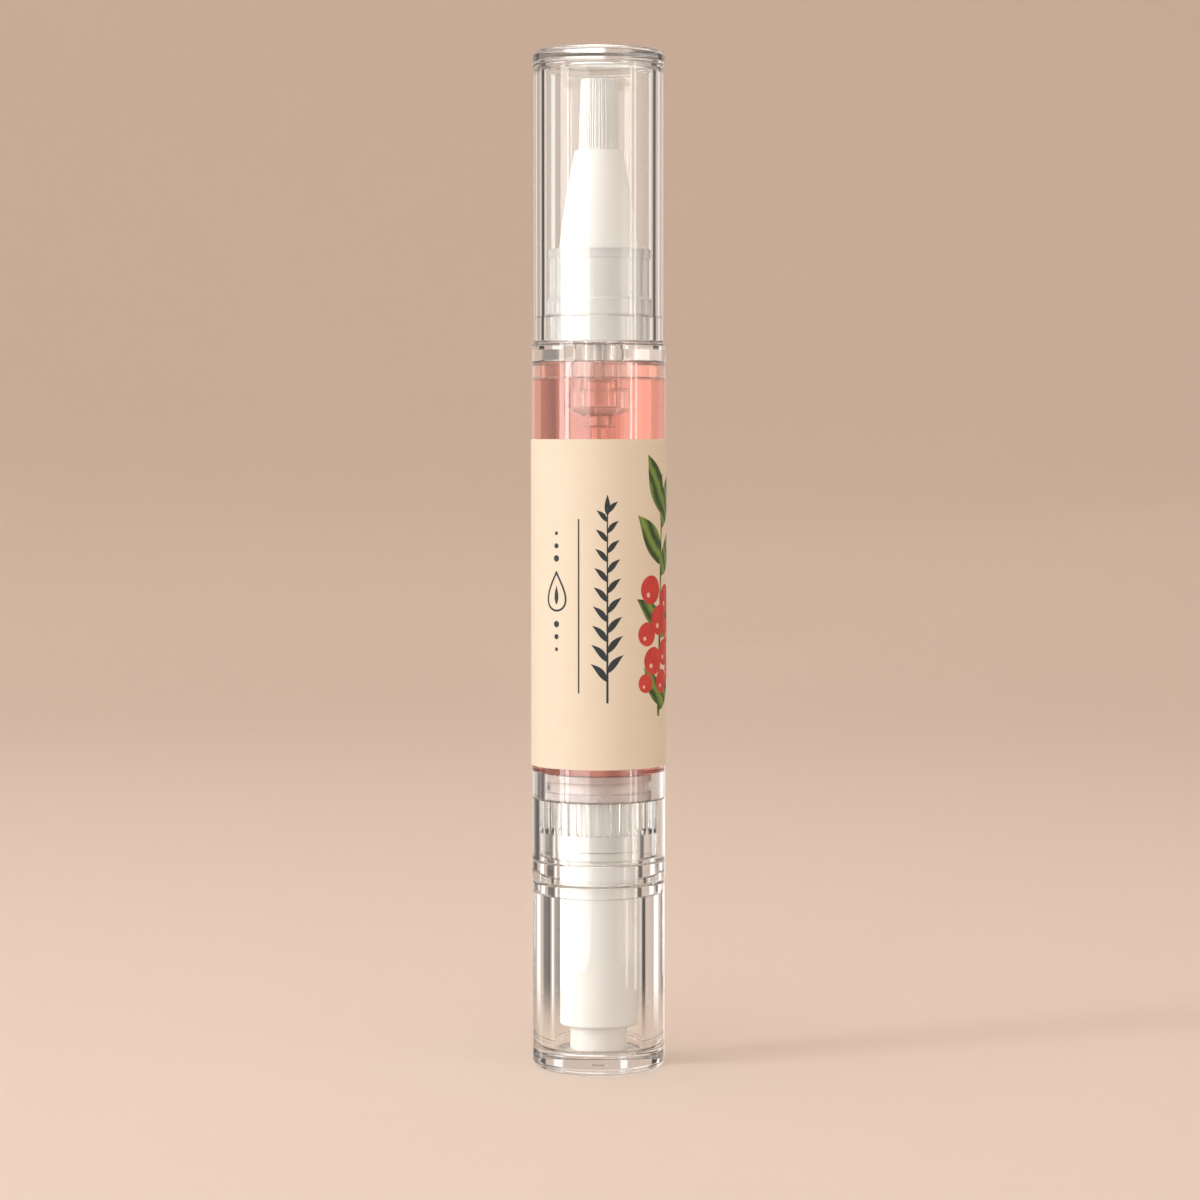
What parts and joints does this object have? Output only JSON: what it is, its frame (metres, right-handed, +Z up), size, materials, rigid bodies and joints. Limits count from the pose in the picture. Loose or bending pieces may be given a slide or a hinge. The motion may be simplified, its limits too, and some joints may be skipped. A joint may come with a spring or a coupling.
{
  "type": "nail oil pen",
  "caption": "Clear twist-up pen of nail oil: pull-off cap over a brush nozzle, labelled barrel with pink oil and piston, and a turning knob that drives a screw.",
  "frame": {"origin": "centre of the foot of the knob, on the surface the pen stands on", "axes": "+Z up along the pen's axis towards the cap; -Y is the front of the label, and its seam is at +Y"},
  "size_m": [0.0142, 0.0142, 0.1065],
  "materials": {
    "clear_plastic": "polished, clear",
    "hazy_plastic": "moulded, slightly hazy",
    "white_plastic": "smooth moulded",
    "piston_plastic": "soft, waxy",
    "brush_filament": "fine nylon filaments",
    "label_paper": "matt coated paper",
    "coral_oil": "clear tinted liquid"
  },
  "bodies": {
    "barrel": {"barrel": "clear_plastic", "label": "label_paper", "collar": "hazy_plastic", "brush_nozzle": "white_plastic", "brush": "brush_filament", "feed_tube": "hazy_plastic", "flow_reducer": "hazy_plastic", "dip_tube": "hazy_plastic", "oil": "coral_oil", "insert_housing": "clear_plastic", "screw_guide": "white_plastic", "ratchet_ring": "hazy_plastic"},
    "cap": {"cap": "clear_plastic"},
    "knob": {"knob": "clear_plastic", "drive_core": "white_plastic", "drive_nut": "white_plastic", "pawl_ring": "white_plastic"},
    "piston": {"piston": "piston_plastic", "lead_screw": "white_plastic"}
  },
  "joints": [
    {"name": "cap_pull", "type": "slide", "parent": "barrel", "child": "cap", "axis": [0, 0, 1], "range_m": [0, 0.03]},
    {"name": "knob_twist", "type": "hinge", "parent": "barrel", "child": "knob", "pos_m": [0, 0, 0.01], "axis": [0, 0, 1], "range_deg": [0, 3600], "deforming": ["pawl_ring"]},
    {"name": "piston_feed", "type": "slide", "parent": "barrel", "child": "piston", "axis": [0, 0, 1], "range_m": [0, 0.02001], "deforming": ["oil"]}
  ],
  "couplings": [
    {"joint": "piston_feed", "follows": "knob_twist", "m_per_rad": 0.00031831}
  ]
}
